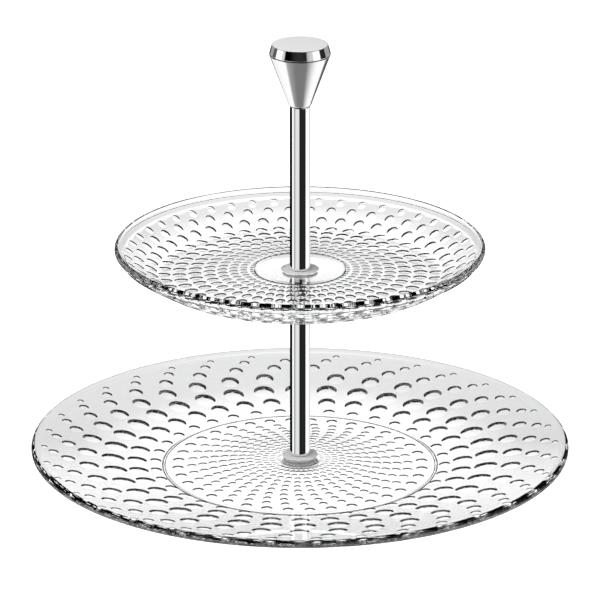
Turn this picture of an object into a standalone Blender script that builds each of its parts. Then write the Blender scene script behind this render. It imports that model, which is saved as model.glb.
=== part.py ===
"""Two-tier cake stand: two pressed-glass coupe plates on a pair of chromed tube rods with a conical knob.

Metres, +Z up. The origin is on the stand's axis, at the level of the table under the lower plate's foot ring.
From the table upwards: base screw, lower plate, lower rod, upper plate, upper rod, knob. Each plate is clamped
between a rod's end and what is under it, with a soft gasket against the glass, and everything screws together on
M6 studs of 1 mm pitch.
"""

import math

import bpy

# Driving dimensions
GAP = 0.0003                      # air between two pieces that touch
GLASS = 0.0046                    # thickness of both plates
PLATE_HOLE_RADIUS = 0.0055
LOWER_RADIUS = 0.160
LOWER_RIM_HEIGHT = 0.0197         # top of the lower rim above the table
LOWER_CENTRE_TOP = 0.0087         # the lower floor is domed up over the base screw
LOWER_FLOOR_TOP = 0.0053
LOWER_DOME_RADII = (0.016, 0.066)
LOWER_WALL_START = 0.076
LOWER_WALL_POWER = 1.2
FOOT_RADIUS = 0.0816              # middle of the foot ring
FOOT_FACE_WIDTH = 0.0024
UPPER_RADIUS = 0.109
UPPER_DEPTH = 0.0162              # rim above the flat floor of the upper plate
UPPER_DOME = 0.0020               # the upper floor is domed too, up to its smooth middle
UPPER_DOME_RADII = (0.028, 0.072)
UPPER_STEP = 0.0016               # the smooth middle lies this much lower, inside a steep step
UPPER_STEP_RADII = (0.0264, 0.0274)
UPPER_WALL_START = 0.081
UPPER_WALL_POWER = 1.20

GASKET = 0.0007
GASKET_RADIUS = 0.0102
WASHER = 0.0006
WASHER_RADIUS = 0.0105
SEAT_RADIUS = 0.0108              # round seat in the upper plate, in which gasket and washer lie flush
ROD_RADIUS = 0.0060
ROD_WALL = 0.0010
LOWER_ROD_LENGTH = 0.1097
UPPER_ROD_LENGTH = 0.1004
INSERT_LENGTH = 0.0140
SCREW_RADIUS = 0.0029             # M6 thread, drawn as its plain outer cylinder
ENGAGED = 0.0090                  # how far a stud reaches into a piece that unscrews from it
BASE_HEAD_RADIUS = 0.0110
BASE_HEAD = 0.0024
SLOT_WIDTH = 0.0016
SLOT_DEPTH = 0.0011

KNOB_FOOT_RADIUS = 0.0065
KNOB_WIDE_RADIUS = 0.0180
KNOB_TOP_RADIUS = 0.0163
KNOB_CONE = 0.0310                # height of the satin cone
KNOB_BAND = 0.0062                # height of the polished band above it
KNOB_WALL = 0.0018
KNOB_INSERT_RADIUS = 0.0046
KNOB_INSERT_LENGTH = 0.0115
LOCK_WASHER = 0.0008

PLATE_STEPS = 48
ROD_STEPS = 32
INNER_STEPS = 20

# Levels, from the table up
BORE_RADIUS = SCREW_RADIUS + GAP
LOWER_CENTRE_UNDER = LOWER_CENTRE_TOP - GLASS
LOWER_WASHER_Z = LOWER_CENTRE_TOP + GAP + GASKET + GAP
LOWER_ROD_Z = LOWER_WASHER_Z + WASHER + GAP
LOWER_ROD_TOP = LOWER_ROD_Z + LOWER_ROD_LENGTH
SUPPORT_WASHER_Z = LOWER_ROD_TOP + GAP
SUPPORT_GASKET_Z = SUPPORT_WASHER_Z + WASHER + GAP
UPPER_CENTRE_UNDER = SUPPORT_GASKET_Z + GASKET + GAP
UPPER_CENTRE_TOP = UPPER_CENTRE_UNDER + GLASS
UPPER_FLOOR_TOP = UPPER_CENTRE_TOP + UPPER_STEP - UPPER_DOME
UPPER_RIM_HEIGHT = UPPER_FLOOR_TOP + UPPER_DEPTH
UPPER_WASHER_Z = UPPER_CENTRE_TOP - WASHER
UPPER_SEAT_Z = UPPER_WASHER_Z - GAP - GASKET - GAP
UPPER_ROD_Z = UPPER_CENTRE_TOP + GAP
UPPER_ROD_TOP = UPPER_ROD_Z + UPPER_ROD_LENGTH
KNOB_Z = UPPER_ROD_TOP + GAP


def clear_scene():
    for old in list(bpy.data.objects):
        bpy.data.objects.remove(old, do_unlink=True)


def new_collection(name):
    collection = bpy.data.collections.new(name)
    bpy.context.scene.collection.children.link(collection)
    return collection


def material(name, colour, roughness, metallic=0.0, transmission=0.0):
    mat = bpy.data.materials.new(name)
    mat.use_nodes = True
    shader = mat.node_tree.nodes["Principled BSDF"]
    shader.inputs["Base Color"].default_value = (*colour, 1.0)
    shader.inputs["Roughness"].default_value = roughness
    shader.inputs["Metallic"].default_value = metallic
    shader.inputs["Transmission Weight"].default_value = transmission
    return mat


def turned(name, outline, steps, mat, collection, base=0.0, closed=True):
    """Turns an outline of (radius, height) points about Z. It runs down its outer side, top to bottom."""
    mesh = bpy.data.meshes.new(name)
    points = [(r, 0.0, z - base) for r, z in outline]
    edges = [(i, i + 1) for i in range(len(points) - 1)]
    if closed:
        edges.append((len(points) - 1, 0))
    mesh.from_pydata(points, edges, [])
    obj = bpy.data.objects.new(name, mesh)
    obj.location.z = base
    collection.objects.link(obj)
    obj.data.materials.append(mat)
    screw = obj.modifiers.new("turn", "SCREW")
    screw.axis = "Z"
    screw.angle = math.tau
    screw.steps = steps
    screw.render_steps = steps
    screw.use_merge_vertices = True
    screw.merge_threshold = 0.00001
    screw.use_smooth_shade = True
    return obj


def ring(inner, outer, low, high, chamfer=0.0):
    """The outline of a plain turned ring, with its outer corners cut back."""
    if chamfer:
        return [(inner, high), (outer - chamfer, high), (outer, high - chamfer),
                (outer, low + chamfer), (outer - chamfer, low), (inner, low)]
    return [(inner, high), (outer, high), (outer, low), (inner, low)]


def arc(centre, radius, start, end, count):
    """Points on an arc, angles in degrees from +X towards +Z, both ends included."""
    turn = [math.radians(start + (end - start) * i / count) for i in range(count + 1)]
    return [(centre[0] + radius * math.cos(a), centre[1] + radius * math.sin(a)) for a in turn]


def ease(value, start, end):
    """0 before start, 1 after end, with a smooth change between."""
    t = min(max((value - start) / (end - start), 0.0), 1.0)
    return t * t * (3.0 - 2.0 * t)


def spread(start, end, count):
    """Evenly spaced radii after start, up to and including end."""
    return [start + (end - start) * (i + 1) / count for i in range(count)]


def lower_top(r):
    """Height of the lower plate's upper surface at radius r."""
    height = LOWER_CENTRE_TOP - (LOWER_CENTRE_TOP - LOWER_FLOOR_TOP) * ease(r, *LOWER_DOME_RADII)
    if r > LOWER_WALL_START:
        across = (r - LOWER_WALL_START) / (LOWER_RADIUS - LOWER_WALL_START)
        height += (LOWER_RIM_HEIGHT - LOWER_FLOOR_TOP) * across ** LOWER_WALL_POWER
    return height


def upper_top(r):
    """Height of the upper plate's upper surface at radius r."""
    height = UPPER_CENTRE_TOP + UPPER_STEP * ease(r, *UPPER_STEP_RADII)
    height -= UPPER_DOME * ease(r, *UPPER_DOME_RADII)
    if r > UPPER_WALL_START:
        across = (r - UPPER_WALL_START) / (UPPER_RADIUS - UPPER_WALL_START)
        height += UPPER_DEPTH * across ** UPPER_WALL_POWER
    return height


def plate_outline(radius, rim_height, top, radii, seat=(), foot=()):
    """Upper surface outwards, round lip, then the underside inwards. The seat and the foot ring are optional."""
    half = GLASS / 2.0
    middle = list(seat) or [(PLATE_HOLE_RADIUS, top(0.0))]
    upper = middle + [(r, top(r)) for r in radii]
    lip = arc((radius - half, rim_height - half), half, 90.0, -90.0, 4)
    under = [(r, top(r) - GLASS) for r in reversed(radii)]
    if foot:
        outside = [point for point in under if point[0] > foot[0][0]]
        inside = [point for point in under if point[0] < foot[-1][0]]
        under = outside + list(foot) + inside
    return upper + lip + under + [(PLATE_HOLE_RADIUS, top(0.0) - GLASS)]


def make_lower_plate(glass, parts):
    half_face = FOOT_FACE_WIDTH / 2.0
    slope = 0.0005
    edge = 0.0002
    outer = FOOT_RADIUS + half_face + slope
    inner = FOOT_RADIUS - half_face - slope
    foot = [(outer, lower_top(outer) - GLASS), (FOOT_RADIUS + half_face + edge, edge),
            (FOOT_RADIUS + half_face, 0.0), (FOOT_RADIUS - half_face, 0.0),
            (FOOT_RADIUS - half_face - edge, edge), (inner, lower_top(inner) - GLASS)]
    radii = spread(0.0, LOWER_DOME_RADII[0], 1) + spread(*LOWER_DOME_RADII, 4)
    radii += spread(LOWER_DOME_RADII[1], LOWER_WALL_START, 1)
    radii += spread(LOWER_WALL_START, LOWER_RADIUS - GLASS, 6)
    outline = plate_outline(LOWER_RADIUS, LOWER_RIM_HEIGHT, lower_top, radii, foot=foot)
    return turned("lower_plate", outline, PLATE_STEPS, glass, parts)


def make_upper_plate(glass, parts):
    seat = [(PLATE_HOLE_RADIUS, UPPER_SEAT_Z), (SEAT_RADIUS, UPPER_SEAT_Z), (SEAT_RADIUS, UPPER_CENTRE_TOP)]
    radii = [UPPER_STEP_RADII[0]] + spread(*UPPER_STEP_RADII, 1)
    radii += [UPPER_DOME_RADII[0]] + spread(*UPPER_DOME_RADII, 3) + [UPPER_WALL_START]
    radii += spread(UPPER_WALL_START, UPPER_RADIUS - GLASS, 5)
    outline = plate_outline(UPPER_RADIUS, UPPER_RIM_HEIGHT, upper_top, radii, seat=seat)
    return turned("upper_plate", outline, PLATE_STEPS, glass, parts, UPPER_CENTRE_UNDER)


def make_base_screw(steel, parts, cutters):
    """Wide flat-headed screw under the lower plate, with a coin slot. Its thread holds the lower rod."""
    head_top = LOWER_CENTRE_UNDER - GAP - GASKET - GAP
    low = head_top - BASE_HEAD
    chamfer = 0.0006
    outline = [(0.0, LOWER_ROD_Z + ENGAGED), (SCREW_RADIUS - chamfer, LOWER_ROD_Z + ENGAGED),
               (SCREW_RADIUS, LOWER_ROD_Z + ENGAGED - chamfer), (SCREW_RADIUS, head_top),
               (BASE_HEAD_RADIUS, head_top), (BASE_HEAD_RADIUS, low + chamfer),
               (BASE_HEAD_RADIUS - chamfer, low), (0.0, low)]
    screw = turned("base_screw", outline, ROD_STEPS, steel, parts, low, closed=False)
    bpy.ops.mesh.primitive_cube_add(size=1.0, location=(0.0, 0.0, low))
    slot = bpy.context.object
    slot.name = "base_screw_slot"
    slot.scale = (2.0 * BASE_HEAD_RADIUS + 0.004, SLOT_WIDTH, 2.0 * SLOT_DEPTH)
    slot.hide_render = True
    slot.display_type = "WIRE"
    for collection in list(slot.users_collection):
        collection.objects.unlink(slot)
    cutters.objects.link(slot)
    cut = screw.modifiers.new("coin slot", "BOOLEAN")
    cut.operation = "DIFFERENCE"
    cut.solver = "EXACT"
    cut.object = slot
    return screw


def make_rod(prefix, low, high, chrome, steel, parts):
    """A chromed tube, chamfered at both ends, with a tapped insert in each end."""
    bore = ROD_RADIUS - ROD_WALL
    recess = 0.0002
    turned(prefix + "_rod", ring(bore, ROD_RADIUS, low, high, 0.0004), ROD_STEPS, chrome, parts, low)
    foot = ring(BORE_RADIUS, bore - GAP, low + recess, low + INSERT_LENGTH)
    head = ring(BORE_RADIUS, bore - GAP, high - INSERT_LENGTH, high - recess)
    turned(prefix + "_rod_foot_insert", foot, INNER_STEPS, steel, parts, low + recess)
    turned(prefix + "_rod_head_insert", head, INNER_STEPS, steel, parts, high - INSERT_LENGTH)


def make_stud(name, low, high, steel, parts):
    chamfer = 0.0006
    outline = [(0.0, high), (SCREW_RADIUS - chamfer, high), (SCREW_RADIUS, high - chamfer),
               (SCREW_RADIUS, low + chamfer), (SCREW_RADIUS - chamfer, low), (0.0, low)]
    return turned(name, outline, INNER_STEPS, steel, parts, low, closed=False)


def make_gaskets_and_washers(rubber, nylon, chrome, parts):
    def gasket(name, low):
        turned(name, ring(BORE_RADIUS, GASKET_RADIUS, low, low + GASKET), ROD_STEPS, rubber, parts, low)

    def washer(name, low):
        outline = ring(BORE_RADIUS, WASHER_RADIUS, low, low + WASHER, 0.00015)
        turned(name, outline, ROD_STEPS, chrome, parts, low)

    def sleeve(name, low, high):
        outline = ring(BORE_RADIUS, PLATE_HOLE_RADIUS - GAP, low + GAP, high - GAP)
        turned(name, outline, INNER_STEPS, nylon, parts, low + GAP)

    gasket("base_gasket", LOWER_CENTRE_UNDER - GAP - GASKET)
    sleeve("lower_centring_sleeve", LOWER_CENTRE_UNDER, LOWER_CENTRE_TOP)
    gasket("lower_gasket", LOWER_CENTRE_TOP + GAP)
    washer("lower_washer", LOWER_WASHER_Z)
    washer("support_washer", SUPPORT_WASHER_Z)
    gasket("support_gasket", SUPPORT_GASKET_Z)
    sleeve("upper_centring_sleeve", UPPER_CENTRE_UNDER, UPPER_SEAT_Z)
    gasket("upper_gasket", UPPER_SEAT_Z + GAP)
    washer("upper_washer", UPPER_WASHER_Z)


def make_knob(satin, polished, steel, parts):
    """Hollow satin cone with a tapped insert in its foot and a polished cap plugged into its mouth."""
    cone_top = KNOB_Z + KNOB_CONE
    slope = (KNOB_WIDE_RADIUS - KNOB_FOOT_RADIUS) / KNOB_CONE
    seat = KNOB_Z + LOCK_WASHER + GAP + KNOB_INSERT_LENGTH + 2.0 * GAP
    bore = KNOB_INSERT_RADIUS + GAP
    edge = 0.0008
    spigot_depth = 0.0030
    spigot_radius = KNOB_WIDE_RADIUS - KNOB_WALL - slope * spigot_depth - GAP
    inner_mouth = spigot_radius + GAP
    ledge = seat + 0.0020
    inner_foot = KNOB_FOOT_RADIUS + slope * (ledge - KNOB_Z) - KNOB_WALL
    body = [(inner_mouth, cone_top), (KNOB_WIDE_RADIUS, cone_top),
            (KNOB_FOOT_RADIUS + slope * edge, KNOB_Z + edge), (KNOB_FOOT_RADIUS - edge / 2.0, KNOB_Z),
            (bore, KNOB_Z), (bore, seat), (BORE_RADIUS, seat), (BORE_RADIUS, ledge),
            (inner_foot, ledge), (inner_mouth, cone_top - spigot_depth - 2.0 * GAP)]
    turned("knob_body", body, ROD_STEPS, satin, parts, KNOB_Z)

    cap_low = cone_top + GAP
    cap_top = cone_top + KNOB_BAND
    corner = 0.0003
    cap = [(0.0, cap_top), (KNOB_TOP_RADIUS - corner, cap_top), (KNOB_TOP_RADIUS, cap_top - corner / 2.0),
           (KNOB_WIDE_RADIUS, cap_low), (spigot_radius, cap_low), (spigot_radius, cap_low - spigot_depth),
           (spigot_radius - KNOB_WALL, cap_low - spigot_depth), (spigot_radius - KNOB_WALL, cap_top - KNOB_WALL),
           (0.0, cap_top - KNOB_WALL)]
    turned("knob_cap", cap, ROD_STEPS, polished, parts, cap_low, closed=False)

    insert_low = KNOB_Z + LOCK_WASHER + 2.0 * GAP
    insert = ring(BORE_RADIUS, KNOB_INSERT_RADIUS, insert_low, insert_low + KNOB_INSERT_LENGTH)
    turned("knob_insert", insert, INNER_STEPS, steel, parts, insert_low)
    lock = ring(BORE_RADIUS, KNOB_INSERT_RADIUS, KNOB_Z + GAP / 2.0, KNOB_Z + GAP / 2.0 + LOCK_WASHER)
    turned("knob_lock_washer", lock, INNER_STEPS, steel, parts, KNOB_Z + GAP / 2.0)


def main():
    clear_scene()
    parts = new_collection("tiered_cake_stand")
    cutters = new_collection("cutters")
    glass = material("clear pressed glass", (0.96, 0.97, 0.97), 0.02, transmission=1.0)
    chrome = material("polished chrome", (0.80, 0.81, 0.82), 0.06, metallic=1.0)
    satin = material("satin metal", (0.72, 0.73, 0.74), 0.32, metallic=1.0)
    steel = material("zinc-plated steel", (0.56, 0.56, 0.55), 0.35, metallic=1.0)
    rubber = material("clear silicone rubber", (0.86, 0.86, 0.84), 0.45, transmission=0.3)
    nylon = material("white nylon", (0.88, 0.88, 0.86), 0.40)

    make_lower_plate(glass, parts)
    make_upper_plate(glass, parts)
    make_base_screw(steel, parts, cutters)
    make_rod("lower", LOWER_ROD_Z, LOWER_ROD_TOP, chrome, steel, parts)
    make_rod("upper", UPPER_ROD_Z, UPPER_ROD_TOP, chrome, steel, parts)
    make_stud("joining_stud", LOWER_ROD_TOP - INSERT_LENGTH, UPPER_ROD_Z + ENGAGED, steel, parts)
    make_stud("knob_stud", UPPER_ROD_TOP - INSERT_LENGTH, KNOB_Z + ENGAGED + LOCK_WASHER, steel, parts)
    make_gaskets_and_washers(rubber, nylon, chrome, parts)
    make_knob(satin, chrome, steel, parts)
    for obj in parts.objects:
        if obj.type == "MESH" and not obj.modifiers.get("coin slot"):
            obj.data.shade_smooth()


main()
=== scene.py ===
"""The look of the two-tier cake stand: pressed-glass plates with rows of round dimples under them, chromed
rods, clear gaskets, zinc-plated M6 hardware and a satin knob with a polished cap.

Metres, +Z up, in the same frame as the CAD. The pieces' heights and outer radii are read from the CAD nodes'
boxes. Radii and widths in the tables of dimples are in millimetres.
"""

import math
from collections import namedtuple

import bmesh
import bpy
import mathutils
import numpy as np
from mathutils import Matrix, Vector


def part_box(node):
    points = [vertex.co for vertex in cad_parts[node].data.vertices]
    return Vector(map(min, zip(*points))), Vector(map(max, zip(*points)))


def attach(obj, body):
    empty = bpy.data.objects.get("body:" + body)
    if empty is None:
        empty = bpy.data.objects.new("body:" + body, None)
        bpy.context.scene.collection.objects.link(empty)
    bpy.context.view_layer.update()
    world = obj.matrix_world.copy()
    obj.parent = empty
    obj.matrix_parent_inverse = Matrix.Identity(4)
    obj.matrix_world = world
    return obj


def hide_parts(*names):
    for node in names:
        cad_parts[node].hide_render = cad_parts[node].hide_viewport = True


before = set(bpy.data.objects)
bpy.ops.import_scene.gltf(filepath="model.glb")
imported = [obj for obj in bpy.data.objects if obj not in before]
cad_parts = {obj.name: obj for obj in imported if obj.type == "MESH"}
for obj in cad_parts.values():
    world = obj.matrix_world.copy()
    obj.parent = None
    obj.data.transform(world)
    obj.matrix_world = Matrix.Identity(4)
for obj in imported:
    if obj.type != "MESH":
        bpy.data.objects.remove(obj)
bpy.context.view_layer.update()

MM = 0.001
AIR = 0.3 * MM                        # gap between neighbouring pieces, as in the CAD
GLASS = 4.6 * MM                      # thickness of both plates
BORE = 3.2 * MM                       # radius of what an M6 screw passes through or is screwed into
THREAD_PITCH = 1.0 * MM
LOOPS_PER_PITCH = 8                   # circles of the mesh in one turn of a thread
ROUND = 96                            # segments round a smooth turned piece
THREADED_ROUND = 40                   # segments round a small threaded one


# ---------------------------------------------------------------- meshes

def make_object(name, points, faces, sharp=32.0):
    """A smooth-shaded mesh with its normals outwards and its corners sharper than the given angle kept."""
    mesh = bpy.data.meshes.new(name)
    mesh.from_pydata([tuple(p) for p in points], [], faces)
    work = bmesh.new()
    work.from_mesh(mesh)
    bmesh.ops.recalc_face_normals(work, faces=work.faces)
    work.to_mesh(mesh)
    work.free()
    mesh.shade_smooth()
    if sharp:
        mesh.set_sharp_from_angle(angle=math.radians(sharp))
    obj = bpy.data.objects.new(name, mesh)
    bpy.context.scene.collection.objects.link(obj)
    return obj


def arc(centre, radius, start, end, count):
    """Points on an arc, angles in degrees from +X towards +Z, both ends included."""
    turns = np.radians(np.linspace(start, end, count + 1))
    return [(centre[0] + radius * math.cos(t), centre[1] + radius * math.sin(t)) for t in turns]


def fillet(corners, count=4):
    """An outline from (r, z, radius) corners, each rounded with an arc of that radius.

    A point a little before and after each arc keeps the shading of the straight stretches straight."""
    spare = 1.25                      # where those points lie, as a share of the arc's reach from the corner
    outline = []
    for i, (r, z, radius) in enumerate(corners):
        here = np.array((r, z))
        if not radius:
            outline.append((r, z))
            continue
        before = np.array(corners[i - 1][:2]) - here
        after = np.array(corners[(i + 1) % len(corners)][:2]) - here
        before, after = before / np.linalg.norm(before), after / np.linalg.norm(after)
        half = math.acos(float(np.clip(before @ after, -1.0, 1.0))) / 2.0
        reach = radius / math.tan(half)
        middle = here + (before + after) / np.linalg.norm(before + after) * radius / math.sin(half)
        a = here + before * reach - middle
        b = here + after * reach - middle
        outline.append(tuple(here + before * reach * spare))
        for t in np.linspace(0.0, 1.0, count + 1):
            step = a * (1.0 - t) + b * t
            outline.append(tuple(middle + step / np.linalg.norm(step) * radius))
        outline.append(tuple(here + after * reach * spare))
    return outline


def turned(name, outline, closed=True, segments=ROUND, sharp=32.0):
    """Turns an outline of (radius, height) about Z. A point on the axis becomes a pole."""
    points, rows = [], []
    angles = np.arange(segments) * math.tau / segments
    for r, z in outline:
        start = len(points)
        if r < 1e-7:
            points.append((0.0, 0.0, z))
            rows.append([start] * segments)
        else:
            points.extend((r * math.cos(a), r * math.sin(a), z) for a in angles)
            rows.append(list(range(start, start + segments)))
    pairs = list(zip(rows, rows[1:]))
    if closed:
        pairs.append((rows[-1], rows[0]))
    faces = []
    for low, high in pairs:
        for i in range(segments):
            k = (i + 1) % segments
            loop = [low[i], low[k], high[k], high[i]]
            face = [v for n, v in enumerate(loop) if v != loop[n - 1]]
            if len(face) > 2:
                faces.append(face)
    return make_object(name, points, faces, sharp)


def levels(low, high):
    """Heights close enough together to carry a thread, both ends included."""
    steps = max(2, round((high - low) / THREAD_PITCH * LOOPS_PER_PITCH))
    return list(np.linspace(low, high, steps + 1))


def cut_thread(obj, radius, low, high, depth, inside=False):
    """Presses a right-hand thread into the wall at that radius, fading out at both ends."""
    run_out = 0.6 * THREAD_PITCH
    mesh = obj.data
    points = np.empty(len(mesh.vertices) * 3)
    mesh.vertices.foreach_get("co", points)
    points = points.reshape(-1, 3)
    x, y, z = points.T
    reach = np.hypot(x, y)
    wall = (np.abs(reach - radius) < 0.01 * MM) & (z > low) & (z < high)
    along = z / THREAD_PITCH - np.arctan2(y, x) / math.tau
    wave = np.abs((along % 1.0) * 2.0 - 1.0)
    fade = np.clip(np.minimum(z - low, high - z) / run_out, 0.0, 1.0)
    change = np.clip(wave * 1.25 - 0.12, 0.0, 1.0) * fade * depth       # flattened crests and roots
    factor = np.where(wall, 1.0 + (change if inside else -change) / np.maximum(reach, 1e-9), 1.0)
    points[:, :2] *= factor[:, None]
    mesh.vertices.foreach_set("co", points.ravel())
    mesh.shade_smooth()
    mesh.set_sharp_from_angle(angle=math.radians(50.0))
    mesh.update()
    return obj


# ---------------------------------------------------------------- plates

LOWER_COLUMNS = 36                    # columns of dimples
UPPER_COLUMNS = 47
FIRST_COLUMN = math.radians(90.0)     # where the first column would be without its swirl: straight behind
LIP_STEPS = 14                        # stretches of the half circle round a lip
WALL_POWER = 1.2                      # above 1, a plate's wall grows steeper outwards

DIMPLE_POWER = 2.2                    # roundness of a dimple's profile
DIMPLE_STRETCH = 1.35                 # length of a dimple along the radius, as a share of its width, at most
WALL_DEPTH = 0.21                     # depth of a dimple as a share of its width
FLOOR_DEPTH = 0.17
UPPER_DEPTH = 0.16
FINE_FROM = 5.0 * MM                  # dimples wider than this are meshed with FINE
FINE = (1.08, 1.0, 0.94, 0.86, 0.74, 0.58, 0.34)      # loops of a dimple's mesh, as shares of its radius
COARSE = (1.08, 1.0, 0.9, 0.72, 0.42)

# The two kinds of ring on an underside. Each reaches in to a circle whose radius is low, and which in a plain
# ring lies a drop below the underside. ring_stack gives the rings of dimples their low.
Plain = namedtuple("Plain", "low drop", defaults=(0.0,))
Dimples = namedtuple("Dimples", "radius width depth staggered low", defaults=(False, None))


class Plate:
    """A glass plate: a smooth turned top, a rounded lip, and an underside with rings of round dimples.

    Every circle of the mesh has six points to a dimple, so that rings of dimples, plain bands and the foot
    ring join point to point. The columns are sheared round the axis by swirl(radius), in dimples."""

    SIDE = 6

    def __init__(self, radius, rim, columns, top, swirl):
        self.radius = radius
        self.rim = rim
        self.columns = columns
        self.count = columns * self.SIDE
        self.top = top
        self.swirl = swirl
        self.points = []
        self.faces = []

    def angle(self, place, radius):
        """The angle of a place counted in mesh points, at that radius."""
        return FIRST_COLUMN + (place / self.SIDE + self.swirl(radius)) * math.tau / self.columns

    def under(self, radius):
        """The height of the underside, without its dimples."""
        return self.top(radius) - GLASS

    def add(self, x, y, z):
        self.points.append((x, y, z))
        return len(self.points) - 1

    def circle(self, radius, height, shear_radius):
        """A circle of the mesh, sheared as the columns are at shear_radius."""
        return [self.add(radius * math.cos(a), radius * math.sin(a), height)
                for a in (self.angle(i, shear_radius) for i in range(self.count))]

    def bridge(self, a, b):
        for i in range(self.count):
            k = (i + 1) % self.count
            self.faces.append((a[i], a[k], b[k], b[i]))

    def dimples(self, inner, outer, high, ring):
        """One ring of dimples between two circles of the mesh, whose radii are ring.low and high."""
        detail = FINE if ring.width > FINE_FROM else COARSE
        half = self.SIDE // 2
        shift = half if ring.staggered else 0
        sides = []
        for j in range(self.columns):
            place = j * self.SIDE + shift - half
            line = []
            for i in range(1, self.SIDE):
                r = ring.low + (high - ring.low) * i / self.SIDE
                a = self.angle(place, r)
                line.append(self.add(r * math.cos(a), r * math.sin(a), self.under(r)))
            sides.append(line)
        reach = min(ring.radius - ring.low, high - ring.radius)
        stretch = min(DIMPLE_STRETCH, 0.96 * reach / (detail[0] * ring.width / 2.0))
        for j in range(self.columns):
            first = j * self.SIDE + shift - half
            inner_arc = [inner[(first + i) % self.count] for i in range(self.SIDE + 1)]
            outer_arc = [outer[(first + i) % self.count] for i in range(self.SIDE + 1)]
            edge = inner_arc + sides[(j + 1) % self.columns] + outer_arc[::-1] + sides[j][::-1]
            self.press(edge, self.angle(j * self.SIDE + shift, ring.radius), ring, stretch, detail)

    def press(self, edge, middle, ring, stretch, detail):
        """Fills a four-sided patch of the underside from its edge in, with a dimple at the angle middle."""
        size = ring.width / 2.0
        outward = (math.cos(middle), math.sin(middle))
        along = (-outward[1], outward[0])
        turns = [math.radians(225.0 - 90.0 * i / self.SIDE) for i in range(4 * self.SIDE)]
        for share in detail:
            loop = []
            for t in turns:
                u = share * size * stretch * math.cos(t)
                v = share * size * math.sin(t)
                x = ring.radius * outward[0] + u * outward[0] + v * along[0]
                y = ring.radius * outward[1] + u * outward[1] + v * along[1]
                rise = ring.depth * (1.0 - min(share, 1.0) ** DIMPLE_POWER)
                loop.append(self.add(x, y, self.under(math.hypot(x, y)) + rise))
            for i in range(len(loop)):
                k = (i + 1) % len(loop)
                self.faces.append((edge[i], edge[k], loop[k], loop[i]))
            edge = loop
        x, y = ring.radius * outward[0], ring.radius * outward[1]
        centre = self.add(x, y, self.under(ring.radius) + ring.depth)
        for i in range(len(edge)):
            self.faces.append((edge[i], edge[(i + 1) % len(edge)], centre))

    def build(self, name, middle, top_radii, rings):
        """Skins the plate from the hole outwards over the top, round the lip and back along the underside.

        middle holds the (radius, height) points before top_radii, and rings run from the lip to the hole."""
        half = GLASS / 2.0
        outermost = rings[0].low
        skin = list(middle) + [(r, self.top(r)) for r in top_radii]
        skin += arc((self.radius - half, self.rim - half), half, 90.0, -90.0, LIP_STEPS)
        circles = [self.circle(r, z, min(r, outermost)) for r, z in skin]
        for previous, here in zip(circles, circles[1:]):
            self.bridge(previous, here)
        previous, high = circles[-1], outermost
        for ring in rings:
            if isinstance(ring, Dimples):
                here = self.circle(ring.low, self.under(ring.low), ring.low)
                self.dimples(here, previous, high, ring)
            else:
                here = self.circle(ring.low, self.under(ring.low) - ring.drop, ring.low)
                self.bridge(previous, here)
            previous, high = here, ring.low
        self.bridge(previous, circles[0])
        return make_object(name, self.points, self.faces, sharp=0.0)


def ring_stack(rings, outer, inner):
    """A plain circle at outer, and from there to inner the rings of dimples, from the outside in.

    Neighbours share the room between them by their widths."""
    ordered = sorted(rings, key=lambda ring: -ring.radius)
    stack = [Plain(outer)]
    for ring, next_in in zip(ordered, ordered[1:] + [None]):
        low = inner
        if next_in:
            room = ring.radius - next_in.radius
            low = next_in.radius + room * next_in.width / (next_in.width + ring.width)
        stack.append(ring._replace(low=low))
    return stack


def ease(value, start, end):
    """Rises smoothly from 0 at start to 1 at end."""
    t = min(max((value - start) / (end - start), 0.0), 1.0)
    return t * t * (3.0 - 2.0 * t)


def wall_rise(value, start, end, height):
    """How far a plate's wall has risen at a radius: nothing at start, and the whole height at end."""
    return height * (max(value - start, 0.0) / (end - start)) ** WALL_POWER


def swirl_of(radius, peak, bend):
    """How far round the columns lie, in dimples.

    They run straight out at bend, a share of the plate's radius, and lean back inside and outside it."""
    inner_lean = 0.7
    reach = 0.5

    def swirl(r):
        u = r / radius
        lean = inner_lean if u < bend else 1.0
        across = min(abs(u - bend), reach)
        return peak - lean * (1.0 - math.cos(math.pi * across / reach))
    return swirl


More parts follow.
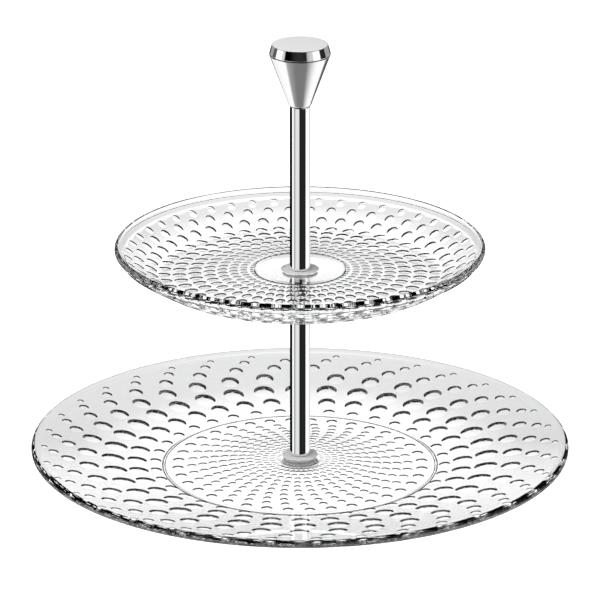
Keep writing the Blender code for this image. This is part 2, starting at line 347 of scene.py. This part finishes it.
def lower_plate():
    corner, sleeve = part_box("lower_plate")[1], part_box("lower_centring_sleeve")[1]
    radius, rim = corner.x, corner.z
    hole = sleeve.x + AIR
    centre_top = sleeve.z + AIR
    floor = 5.3 * MM                  # height of the top at the foot of the wall
    wall_start = 76.0 * MM

    def top(r):
        height = centre_top - (centre_top - floor) * ease(r, 16.0 * MM, 66.0 * MM)
        return height + wall_rise(r, wall_start, radius, rim - floor)

    wall = []
    for r, width in ((86.6, 7.2), (97.6, 10.8), (112.0, 12.8), (127.3, 11.0), (139.0, 8.6), (147.3, 6.4),
                     (152.9, 4.2)):
        depth = WALL_DEPTH * width * MM * (0.8 if r < 115.0 else 1.15)        # deeper near the rim
        wall.append(Dimples(r * MM, width * MM, depth))

    floor_rings = [Dimples(73.0 * MM, 6.5 * MM, WALL_DEPTH * 6.5 * MM)]
    for k in range(11):
        r = (13.0 + 3.6 * k + 0.155 * k * k) * MM                             # further apart outwards
        widest = 0.84 * r * math.tau / LOWER_COLUMNS                          # leaves glass between them
        width = float(np.interp(r / MM, (19, 28, 33, 44, 54, 65), (2.9, 3.8, 4.2, 4.6, 4.9, 5.0))) * MM
        width = min(width, widest)
        floor_rings.append(Dimples(r, width, FLOOR_DEPTH * width, staggered=r < 28.0 * MM and k % 2 == 1))

    plate = Plate(radius, rim, LOWER_COLUMNS, top, swirl_of(radius, 1.15, 0.705))
    foot = [Plain(r * MM, plate.under(r * MM) - height * MM)
            for r, height in ((82.1, 0.15), (82.0, 0.03), (81.85, 0.0), (81.35, 0.0), (81.2, 0.03),
                              (81.1, 0.15))]
    rings = ring_stack(wall, 155.2 * MM, 82.8 * MM)
    rings += [Plain(82.45 * MM)] + foot + [Plain(80.9 * MM), Plain(80.55 * MM)]
    rings += ring_stack(floor_rings, 76.9 * MM, 11.3 * MM)
    rings += [Plain(8.5 * MM), Plain(hole)]
    top_radii = [r * MM for r in np.linspace(8.0, 154.0, 44)]
    return plate.build("lower_plate_glass", [(hole, top(hole))], top_radii, rings)


def upper_plate():
    corner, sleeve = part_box("upper_plate")[1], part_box("upper_centring_sleeve")[1]
    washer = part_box("upper_washer")[1]
    radius, rim = corner.x, corner.z
    hole = sleeve.x + AIR
    middle_top = washer.z
    floor = middle_top - 0.4 * MM
    wall_start = 81.0 * MM

    def top(r):
        height = middle_top
        height += 0.6 * MM * ease(r, 11.5 * MM, 26.4 * MM)       # the smooth disc rises gently outwards
        height += 0.5 * MM * ease(r, 26.6 * MM, 27.2 * MM)       # the step round the disc
        height -= 2.0 * MM * ease(r, 28.0 * MM, 72.0 * MM)       # the floor falls away outside it
        return height + wall_rise(r, wall_start, radius, rim - floor)

    pitch = math.tau / UPPER_COLUMNS
    widths = {r: 0.82 * r * pitch for r in (28.6, 33.3, 39.0, 45.6, 53.1, 61.7)}
    widths.update({71.0: 7.3, 80.2: 7.2, 88.9: 6.8, 96.4: 6.0, 102.5: 5.0})
    dimples = []
    for r, width in widths.items():
        depth = (UPPER_DEPTH if r < 75.0 else WALL_DEPTH) * width * (1.0 if r < 100.0 else 0.7)
        dimples.append(Dimples(r * MM, width * MM, depth * MM))
    rings = ring_stack(dimples, 105.2 * MM, 27.6 * MM)
    rings += [Plain(r * MM) for r in (27.3, 27.0, 26.7, 26.4, 26.1, 22.0, 17.0, 12.0, 8.0)]
    rings += [Plain(hole)]

    # A round seat, in which the gasket and the washer lie flush with the disc.
    seat, wall = sleeve.z + AIR, washer.x + AIR
    middle = [(hole, seat), (wall - 0.3 * MM, seat), (wall - 0.1 * MM, seat + 0.03 * MM),
              (wall, seat + 0.2 * MM), (wall, middle_top - 0.25 * MM),
              (wall + 0.1 * MM, middle_top - 0.06 * MM), (wall + 0.35 * MM, middle_top),
              (wall + 0.8 * MM, middle_top)]
    top_radii = [r * MM for r in (17.0, 22.0, 26.0, 26.4, 26.6, 26.8, 27.0, 27.2, 27.4, 27.8, 30.0)]
    top_radii += [r * MM for r in np.linspace(33.0, 104.0, 30)]
    plate = Plate(radius, rim, UPPER_COLUMNS, top, swirl_of(radius, 1.29, 0.67))
    return plate.build("upper_plate_glass", middle, top_radii, rings)


# ---------------------------------------------------------------- turned hardware

def ring_piece(name, node, corner, count=4):
    """A turned ring the size of a CAD ring, with every corner rounded."""
    low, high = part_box(node)
    return turned(name, fillet([(BORE, high.z, corner), (high.x, high.z, corner),
                                (high.x, low.z, corner), (BORE, low.z, corner)], count))


def rod(name, node):
    """A tube with a 1 mm wall and softened ends."""
    low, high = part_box(node)
    bore = high.x - 1.0 * MM
    corners = [(bore, high.z, 0.15 * MM), (high.x, high.z, 0.4 * MM),
               (high.x, low.z, 0.4 * MM), (bore, low.z, 0.15 * MM)]
    return turned(name, fillet(corners, 5))


def insert(name, node):
    """A tapped insert: a slug with chamfered ends and a threaded bore."""
    low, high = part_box(node)
    bevel = 0.3 * MM
    inside = [(BORE, z) for z in levels(low.z + bevel, high.z - bevel)]
    outline = [(BORE + bevel, high.z), (high.x - bevel, high.z), (high.x, high.z - bevel),
               (high.x, low.z + bevel), (high.x - bevel, low.z), (BORE + bevel, low.z)] + inside
    obj = turned(name, outline, segments=THREADED_ROUND)
    return cut_thread(obj, BORE, low.z + bevel, high.z - bevel, 0.45 * MM, inside=True)


def stud(name, node):
    """A threaded rod with chamfered ends."""
    low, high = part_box(node)
    radius, bevel = high.x, 0.6 * MM
    side = [(radius, z) for z in levels(low.z + bevel, high.z - bevel)][::-1]
    outline = [(0.0, high.z), (radius - bevel, high.z)] + side + [(radius - bevel, low.z), (0.0, low.z)]
    obj = turned(name, outline, closed=False, segments=THREADED_ROUND)
    return cut_thread(obj, radius, low.z + bevel, high.z - bevel, 0.55 * MM)


def base_screw():
    """An M6 screw with a wide, flat head and a coin slot."""
    low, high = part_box("base_screw")
    head_radius, shank = high.x, 2.9 * MM
    head_top = low.z + 2.4 * MM
    bevel = 0.6 * MM
    head = fillet([(shank, head_top, 0.0), (head_radius, head_top, 0.25 * MM),
                   (head_radius, low.z, 0.6 * MM), (0.0, low.z, 0.0)])
    thread_low, thread_high = head_top + 0.3 * MM, high.z - bevel
    side = [(shank, z) for z in levels(thread_low, thread_high)][::-1]
    outline = [(0.0, high.z), (shank - bevel, high.z)] + side + head
    obj = turned("base_screw_steel", outline, closed=False)
    cut_thread(obj, shank, thread_low, thread_high, 0.55 * MM)
    trough = slot_box(head_radius + 2 * MM, 0.8 * MM, low.z, 1.1 * MM)
    cutter = make_object("base_screw_slot", *trough, sharp=0)
    cut = obj.modifiers.new("coin slot", "BOOLEAN")
    cut.operation = "DIFFERENCE"
    cut.solver = "EXACT"
    cut.object = cutter
    evaluated = obj.evaluated_get(bpy.context.evaluated_depsgraph_get())
    mesh = bpy.data.meshes.new_from_object(evaluated)
    obj.modifiers.clear()
    obj.data = mesh
    obj.data.set_sharp_from_angle(angle=math.radians(40.0))
    bpy.data.objects.remove(cutter)
    return obj


def slot_box(length, half, z, depth):
    """A trough with rounded bottom corners, as points and faces, cut upwards from z."""
    profile = [(-half, z - MM), (-half, z + 0.8 * depth), (-0.75 * half, z + depth),
               (0.75 * half, z + depth), (half, z + 0.8 * depth), (half, z - MM)]
    n = len(profile)
    points = [(x, y, h) for x in (-length, length) for y, h in profile]
    faces = [tuple(range(n)), tuple(range(n, 2 * n))]
    faces += [(i, (i + 1) % n, n + (i + 1) % n, n + i) for i in range(n)]
    return points, faces


def knob():
    """The hollow satin cone, and the polished cap whose spigot is plugged into it."""
    low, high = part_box("knob_body")
    cap_low, cap_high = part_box("knob_cap")
    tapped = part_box("knob_insert")[1]
    wide, foot, wall = high.x, 6.5 * MM, 1.8 * MM
    slope = (wide - foot) / (high.z - low.z)
    seat, bore = tapped.z + AIR, tapped.x + AIR
    ledge = seat + 2.0 * MM
    band_low = high.z + AIR
    spigot_depth = band_low - cap_low.z
    spigot = wide - wall - slope * spigot_depth - AIR
    mouth = spigot + AIR
    cone = [(mouth, high.z, 0.15 * MM), (wide, high.z, 0.35 * MM), (foot, low.z, 1.1 * MM),
            (bore, low.z, 0.2 * MM), (bore, seat, 0.0), (BORE, seat, 0.0), (BORE, ledge, 0.0),
            (foot + slope * (ledge - low.z) - wall, ledge, 0.4 * MM),
            (mouth, high.z - spigot_depth - 0.6 * MM, 0.0)]
    body = turned("knob_cone", fillet(cone, 6), sharp=50.0)

    top_radius, crown_drop = 16.3 * MM, 0.22 * MM
    edge_radius, edge = top_radius - 0.6 * MM, cap_high.z - 0.25 * MM
    crown = [(r, cap_high.z - crown_drop * (r / top_radius) ** 2)
             for r in np.linspace(0.0, edge_radius, 9)]
    inside = spigot - wall
    shell = fillet([(edge_radius, edge, 0.0), (top_radius, edge, 0.3 * MM), (wide, band_low, 0.35 * MM),
                    (spigot, band_low, 0.2 * MM), (spigot, cap_low.z, 0.2 * MM),
                    (inside, cap_low.z, 0.2 * MM), (inside, cap_high.z - wall, 0.5 * MM),
                    (0.0, cap_high.z - wall, 0.0)], 5)
    cap = turned("knob_cap_polished", crown + shell[1:], closed=False, sharp=50.0)
    return body, cap


# ---------------------------------------------------------------- materials

class Graph:
    """Makes nodes in one node tree, a line at a time."""

    def __init__(self, tree):
        self.tree = tree

    def node(self, kind, **values):
        made = self.tree.nodes.new(kind)
        for key, value in values.items():
            setattr(made, key, value)
        return made

    def link(self, a, b):
        self.tree.links.new(a, b)

    def ramp(self, source, *stops):
        """Turns a value into a colour or a grey, from (position, colour or grey) stops."""
        made = self.node("ShaderNodeValToRGB")
        elements = made.color_ramp.elements
        while len(elements) < len(stops):
            elements.new(0.5)
        for element, (position, colour) in zip(elements, stops):
            element.position = position
            red, green, blue = colour if isinstance(colour, tuple) else (colour, colour, colour)
            element.color = (red, green, blue, 1.0)
        self.link(source, made.inputs["Fac"])
        return made.outputs["Color"]

    def math(self, operation, *sources):
        made = self.node("ShaderNodeMath", operation=operation)
        for socket, source in zip(made.inputs, sources):
            if isinstance(source, (int, float)):
                socket.default_value = source
            else:
                self.link(source, socket)
        return made.outputs["Value"]

    def mix(self, share, a, b):
        """The colour or grey a where share is 0, and b where it is 1."""
        made = self.node("ShaderNodeMixRGB")
        self.link(share, made.inputs["Fac"])
        for source, socket in ((a, made.inputs["Color1"]), (b, made.inputs["Color2"])):
            if isinstance(source, (int, float)):
                socket.default_value = (source, source, source, 1.0)
            else:
                self.link(source, socket)
        return made.outputs["Color"]

    def bounced(self):
        """1 for a ray that was reflected on its way, by metal or inside the glass, and 0 for any other."""
        rays = self.node("ShaderNodeLightPath")
        return self.math("GREATER_THAN", rays.outputs["Glossy Depth"], 0.5)


class Look(Graph):
    """A procedural material built node by node round one Principled shader."""

    def __init__(self, name, **values):
        self.material = bpy.data.materials.new(name)
        self.material.use_nodes = True
        super().__init__(self.material.node_tree)
        self.shader = self.tree.nodes["Principled BSDF"]
        for key, value in values.items():
            self.shader.inputs[key.replace("_", " ")].default_value = value
        self.place = self.node("ShaderNodeTexCoord").outputs["Object"]

    def scaled(self, x, y, z):
        mapping = self.node("ShaderNodeMapping")
        mapping.inputs["Scale"].default_value = (x, y, z)
        self.link(self.place, mapping.inputs["Vector"])
        return mapping.outputs["Vector"]

    def noise(self, scale, detail=3.0, rough=0.5, vector=None):
        made = self.node("ShaderNodeTexNoise")
        made.inputs["Scale"].default_value = scale
        made.inputs["Detail"].default_value = detail
        made.inputs["Roughness"].default_value = rough
        self.link(vector or self.place, made.inputs["Vector"])
        return made.outputs["Fac"]

    def spread(self, source, low, high, start=0.3, end=0.7):
        """Maps start..end to low..high. The defaults are the range that a noise mostly keeps to."""
        made = self.node("ShaderNodeMapRange")
        made.inputs["From Min"].default_value = start
        made.inputs["From Max"].default_value = end
        made.inputs["To Min"].default_value = low
        made.inputs["To Max"].default_value = high
        self.link(source, made.inputs["Value"])
        return made.outputs["Result"]

    def bump(self, source, distance, strength):
        made = self.node("ShaderNodeBump")
        made.inputs["Distance"].default_value = distance
        made.inputs["Strength"].default_value = strength
        self.link(source, made.inputs["Height"])
        return made.outputs["Normal"]

    def turning_marks(self):
        """Fine rings round the axis, as turning leaves them."""
        scale = 2600.0
        distance = self.node("ShaderNodeVectorMath", operation="LENGTH")
        self.link(self.scaled(scale, scale, 0.0), distance.inputs[0])
        joined = self.node("ShaderNodeCombineXYZ")
        self.link(distance.outputs["Value"], joined.inputs["X"])
        return self.noise(1.0, 2.0, 0.6, joined.outputs["Vector"])

    def blend(self, share, a, b):
        """The shader a where share is 0, and b where it is 1."""
        made = self.node("ShaderNodeMixShader")
        for source, socket in zip((share, a, b), made.inputs):
            self.link(source, socket)
        return made.outputs[0]

    def unseen(self):
        """A shader that lets every ray straight through."""
        return self.node("ShaderNodeBsdfTransparent").outputs[0]

    def show(self, shader):
        """Puts a shader of its own in the place of the Principled one."""
        self.link(shader, self.tree.nodes["Material Output"].inputs["Surface"])
        return self.material

    def feed(self, **sources):
        for key, source in sources.items():
            self.link(source, self.shader.inputs[key.replace("_", " ")])
        return self.material


def pressed_glass(name):
    """Clear glass. The metal's slightly soft mirror images leave it out, so their stripes stay unbroken."""
    look = Look(name, Transmission_Weight=1.0, IOR=1.5, Roughness=0.0, Base_Color=(0.975, 0.98, 0.98, 1.0))
    look.feed(Normal=look.bump(look.noise(55.0, 2.0), 0.02 * MM, 0.6))
    rays = look.node("ShaderNodeLightPath")
    glass = look.shader.outputs[0]
    mirrored = look.blend(rays.outputs["Is Singular Ray"], look.unseen(), glass)
    return look.show(look.blend(rays.outputs["Is Glossy Ray"], glass, mirrored))


def polished_chrome():
    look = Look("polished chrome", Metallic=1.0, Base_Color=(0.93, 0.935, 0.94, 1.0))
    haze = look.noise(240.0, 4.0, 0.6)
    return look.feed(Roughness=look.spread(haze, 0.012, 0.03))


def polished_cap(top):
    """Chrome round the edge, and a fine satin face on top, at the height given."""
    look = Look("polished cap with a satin top")
    height = look.node("ShaderNodeSeparateXYZ")
    look.link(look.place, height.inputs[0])
    satin = look.spread(height.outputs["Z"], 0.0, 1.0, top - 0.32 * MM, top - 0.24 * MM)
    brushed = look.ramp(look.turning_marks(), (0.3, 0.80), (0.7, 0.88))
    return look.feed(Base_Color=look.mix(satin, 0.93, brushed),
                     Metallic=look.spread(satin, 1.0, 0.35, 0.0, 1.0),
                     Roughness=look.spread(satin, 0.02, 0.42, 0.0, 1.0))


def satin_washer():
    look = Look("fine-turned washer")
    rings = look.turning_marks()
    return look.feed(Base_Color=look.ramp(rings, (0.3, 0.74), (0.7, 0.84)),
                     Metallic=look.spread(rings, 0.3, 0.4),
                     Roughness=look.spread(rings, 0.36, 0.44))


def satin_metal():
    look = Look("satin turned metal", Metallic=1.0)
    lines = look.noise(900.0, 3.0, 0.6, look.scaled(0.02, 0.02, 6.0))
    return look.feed(Base_Color=look.ramp(lines, (0.3, (0.84, 0.84, 0.85)), (0.7, (0.88, 0.88, 0.89))),
                     Roughness=look.spread(lines, 0.13, 0.17),
                     Normal=look.bump(lines, 0.002 * MM, 0.3))


def zinc_steel():
    look = Look("zinc-plated steel")
    blotch = look.noise(420.0, 5.0, 0.6)
    return look.feed(Base_Color=look.ramp(blotch, (0.3, (0.76, 0.77, 0.79)), (0.55, (0.84, 0.84, 0.84)),
                                          (0.75, (0.87, 0.86, 0.82))),
                     Metallic=look.spread(blotch, 0.45, 0.6),
                     Roughness=look.spread(blotch, 0.34, 0.46))


def silicone():
    look = Look("clear silicone rubber", Transmission_Weight=0.75, IOR=1.41)
    cloud = look.noise(700.0, 4.0)
    return look.feed(Base_Color=look.ramp(cloud, (0.3, (0.95, 0.955, 0.96)), (0.7, (0.98, 0.985, 0.985))),
                     Roughness=look.spread(cloud, 0.22, 0.38))


def nylon():
    look = Look("white nylon", Subsurface_Weight=0.15, Subsurface_Scale=1.0 * MM)
    grain = look.noise(900.0, 4.0)
    return look.feed(Base_Color=look.ramp(grain, (0.3, (0.84, 0.84, 0.82)), (0.7, (0.90, 0.90, 0.88))),
                     Roughness=look.spread(grain, 0.34, 0.48),
                     Normal=look.bump(grain, 0.01 * MM, 0.5))


# ---------------------------------------------------------------- assembly

def place(obj, body, node, slot, material):
    """Gives a piece its material and its body, and hides the CAD node that it stands for. The slot, that
    node's finish, is not used.
    """
    obj.data.materials.clear()
    obj.data.materials.append(material)
    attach(obj, body)
    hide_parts(node)
    return obj


def build_object():
    chrome, satin, steel = polished_chrome(), satin_metal(), zinc_steel()
    rubber, white, flat = silicone(), nylon(), satin_washer()

    for made, body, tier in ((lower_plate(), "base", "lower"), (upper_plate(), "middle", "upper")):
        glass = pressed_glass("pressed glass, " + tier)
        place(made, body, tier + "_plate", tier + "_glass", glass).visible_shadow = False
    place(base_screw(), "base", "base_screw", "plated_steel", steel)

    for node, body in (("lower_rod", "middle"), ("upper_rod", "top_rod")):
        place(rod(node + "_chrome", node), body, node, "chrome", chrome)
    for node, body in (("lower_rod_foot_insert", "middle"), ("lower_rod_head_insert", "middle"),
                       ("upper_rod_foot_insert", "top_rod"), ("upper_rod_head_insert", "top_rod"),
                       ("knob_insert", "knob")):
        place(insert(node + "_tapped", node), body, node, "plated_steel", steel)
    for node, body in (("joining_stud", "middle"), ("knob_stud", "top_rod")):
        place(stud(node + "_m6", node), body, node, "plated_steel", steel)

    for node, body in (("base_gasket", "base"), ("lower_gasket", "lower_clamp_ring"),
                       ("support_gasket", "middle"), ("upper_gasket", "upper_clamp_ring")):
        place(ring_piece(node + "_silicone", node, 0.3 * MM, 5), body, node, "silicone", rubber)
    for node, body in (("lower_washer", "lower_clamp_ring"), ("support_washer", "middle"),
                       ("upper_washer", "upper_clamp_ring")):
        place(ring_piece(node + "_turned", node, 0.14 * MM), body, node, "chrome", flat)
    lock_washer = ring_piece("knob_lock_washer_steel", "knob_lock_washer", 0.12 * MM)
    place(lock_washer, "knob_ring", "knob_lock_washer", "plated_steel", steel)
    for node, body in (("lower_centring_sleeve", "base"), ("upper_centring_sleeve", "middle")):
        place(ring_piece(node + "_nylon", node, 0.4 * MM), body, node, "nylon", white)

    cone, cap = knob()
    place(cone, "knob", "knob_body", "satin_metal", satin)
    place(cap, "knob", "knob_cap", "chrome", polished_cap(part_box("knob_cap")[1].z))


# ---------------------------------------------------------------- studio

DARK = 0.03                           # grey of the dark cards above and behind


def az(degrees):
    """A compass direction as a share of the turn, from behind the stand round by the left; 0 is in front."""
    return (degrees + 180.0) / 360.0


def el(degrees):
    """A height above the horizon as a share of the way from straight down to straight up."""
    return (degrees + 90.0) / 180.0


def surroundings(graph):
    """What the metal mirrors: light and dark cards round the stand, and dark ones above and behind.

    Returns their grey, the height of the direction looked in, and whether it lies behind the stand."""
    split = graph.node("ShaderNodeSeparateXYZ")
    graph.link(graph.node("ShaderNodeTexCoord").outputs["Generated"], split.inputs[0])
    x, y, z = split.outputs
    azimuth = graph.math("ARCTAN2", x, graph.math("MULTIPLY", y, -1.0))
    turn = graph.math("ADD", graph.math("DIVIDE", azimuth, math.tau), 0.5)
    height = graph.math("ADD", graph.math("DIVIDE", graph.math("ARCSINE", z), math.pi), 0.5)

    def around(*stops):
        return graph.ramp(turn, *[(az(degrees), grey) for degrees, grey in stops])

    def above(start, end):
        return graph.ramp(height, (el(start), 0.0), (el(end), 1.0))

    # The greys that the rods, the knob's cone and its polished band mirror.
    rods = around((-180, 0.0), (-100, 0.0), (-96, 1.1), (-80, 1.1), (-74, 0.42), (-56, 0.42), (-49, 0.75),
                  (-12, 0.75), (-4, 0.01), (30, 0.02), (64, 0.01), (72, 1.1), (112, 1.1), (120, 0.7),
                  (180, 0.7))
    cone = around((-180, 0.05), (-160, 0.12), (-153, 0.9), (-82, 1.15), (-76, 1.1), (-68, 0.38), (-25, 0.2),
                  (35, 0.2), (78, 0.95), (105, 1.15), (128, 1.1), (136, 0.08), (180, 0.08))
    band = around((-180, 0.35), (-124, 0.35), (-121, 0.1), (-104, 0.1), (-100, 1.1), (-74, 1.1), (-70, 0.6),
                  (-62, 0.6), (-59, 0.0), (24, 0.0), (28, 0.6), (50, 0.6), (54, 1.1), (80, 1.1), (85, 0.02),
                  (110, 0.02), (114, 0.35), (180, 0.35))
    behind = around((-180, 1.0), (-152, 1.0), (-146, 0.0), (146, 0.0), (152, 1.0), (180, 1.0))
    rear_third = around((-180, 1.0), (-120, 1.0), (-110, 0.0), (110, 0.0), (120, 1.0), (180, 1.0))

    # From straight down to straight up: the cone's greys, the rods', the band's, and dark.
    low = graph.mix(above(-44, -40), graph.mix(rear_third, cone, 1.0), cone)
    low = graph.mix(above(-24, -22), low, rods)
    level = graph.mix(above(-16, -13.5), low, graph.mix(behind, band, DARK))
    return graph.mix(above(15, 17), level, DARK), height, rear_third


def make_world():
    """White for the camera, white with a dark top for rays through the glass, and cards for mirrored rays."""
    world = bpy.data.worlds.new("studio")
    bpy.context.scene.world = world
    world.use_nodes = True
    world.node_tree.nodes.clear()
    graph = Graph(world.node_tree)
    mirrored, height, rear_third = surroundings(graph)
    rays = graph.node("ShaderNodeLightPath").outputs
    bounced = graph.bounced()

    # Rays that were reflected inside the glass find it white low down behind the stand.
    in_glass = graph.math("MULTIPLY", bounced, rays["Is Transmission Ray"])
    low_behind = graph.math("MULTIPLY", graph.ramp(height, (el(-18), 1.0), (el(-14), 0.0)), rear_third)
    mirrored = graph.mix(graph.math("MULTIPLY", in_glass, low_behind), mirrored, 1.4)

    sky = graph.ramp(height, (el(-90), 1.0), (el(40), 1.0), (el(60), 0.08), (el(90), 0.04))
    through = graph.math("MULTIPLY", rays["Is Transmission Ray"], graph.math("SUBTRACT", 1.0, bounced))
    seen = graph.mix(rays["Is Camera Ray"], graph.mix(through, mirrored, sky), 1.0)
    light = graph.node("ShaderNodeBackground")
    light.inputs["Strength"].default_value = 1.1
    graph.link(seen, light.inputs["Color"])
    graph.link(light.outputs[0], graph.node("ShaderNodeOutputWorld").inputs["Surface"])


def painted_shade_half_ring(look, middle, start, end):
    """The share of painted shade in a half ring on the floor, round a middle on the Y axis and open to the
    front, between two radii.
    """
    offset = look.node("ShaderNodeVectorMath", operation="SUBTRACT")
    offset.inputs[1].default_value = (0.0, middle, 0.0)
    look.link(look.place, offset.inputs[0])
    distance = look.node("ShaderNodeVectorMath", operation="LENGTH")
    look.link(offset.outputs["Vector"], distance.inputs[0])
    ring = look.ramp(distance.outputs["Value"], (start - 0.02, 0.0), (start + 0.04, 1.0), (end, 1.0),
                     (end + 0.03, 0.0))
    parts = look.node("ShaderNodeSeparateXYZ")
    look.link(offset.outputs["Vector"], parts.inputs[0])
    rear = look.ramp(look.math("ADD", parts.outputs["Y"], 0.5), (0.46, 0.0), (0.54, 1.0))
    return look.math("MULTIPLY", ring, rear)


def make_floor():
    """A plain white floor for the camera.

    Rays that come through glass find it darker in two half rings of painted shade, which greys the rear walls
    of the plates where they are seen over it, and rays that were reflected don't find it at all."""
    side, drop = 30.0, -0.2 * MM
    corners = [(-side, -side, drop), (side, -side, drop), (side, side, drop), (-side, side, drop)]
    floor = make_object("studio_floor", corners, [(0, 1, 2, 3)], sharp=0)
    glow = Look("white floor with painted shade rings", Base_Color=(0.1, 0.1, 0.1, 1.0), Roughness=1.0, Specular_IOR_Level=0.0,
                Emission_Color=(1.0, 1.0, 1.0, 1.0))
    # Painted shade: half rings of darker floor behind each plate, seen only through the glass, that grey its
    # rear wall.
    painted_shade_below_lower = painted_shade_half_ring(glow, 0.0, 0.098, 0.19)
    painted_shade_below_upper = painted_shade_half_ring(glow, 0.36, 0.075, 0.34)
    through = glow.node("ShaderNodeLightPath").outputs["Is Transmission Ray"]
    shade = glow.math("MULTIPLY", glow.math("ADD", painted_shade_below_lower, painted_shade_below_upper), through)
    # The painted shade lowers the glow from 1.34 to 0.82 inside the half rings.
    glow.feed(Emission_Strength=glow.spread(shade, 1.34, 0.82, 0.0, 1.0))
    floor.data.materials.append(glow.show(glow.blend(glow.bounced(), glow.shader.outputs[0], glow.unseen())))
    floor.visible_glossy = False


def make_lamp():
    """A large round lamp above and to the front left, which is never seen itself."""
    lamp = bpy.data.lights.new("overhead softbox", "AREA")
    lamp.shape = "DISK"
    lamp.size = 1.6
    lamp.energy = 42.0
    box = bpy.data.objects.new("overhead softbox", lamp)
    box.location = (-0.3, -0.4, 1.6)
    towards_stand = mathutils.Vector((0.3, 0.4, -1.5))
    box.rotation_euler = towards_stand.to_track_quat("-Z", "Y").to_euler()
    box.visible_camera = False
    box.visible_glossy = False
    box.visible_transmission = False
    bpy.context.scene.collection.objects.link(box)


def studio():
    scene = bpy.context.scene
    scene.view_settings.view_transform = "Standard"
    scene.view_settings.look = "None"
    scene.cycles.max_bounces = 24
    scene.cycles.transmission_bounces = 16
    scene.cycles.glossy_bounces = 5
    scene.cycles.diffuse_bounces = 2
    make_world()
    make_floor()
    make_lamp()


def camera():
    """In front of the stand, looking down on it from about 2.9 m."""
    pitch = 19.635                    # degrees below the horizon
    data = bpy.data.cameras.new("camera")
    data.sensor_width = 36.0
    data.lens = 296.8
    data.clip_start, data.clip_end = 0.05, 100.0
    obj = bpy.data.objects.new("camera", data)
    obj.location = (0.0, -2.749, 1.0887)
    obj.rotation_euler = (math.radians(90.0 - pitch), 0.0, 0.0)
    bpy.context.scene.collection.objects.link(obj)
    bpy.context.scene.camera = obj


camera()
studio()
build_object()
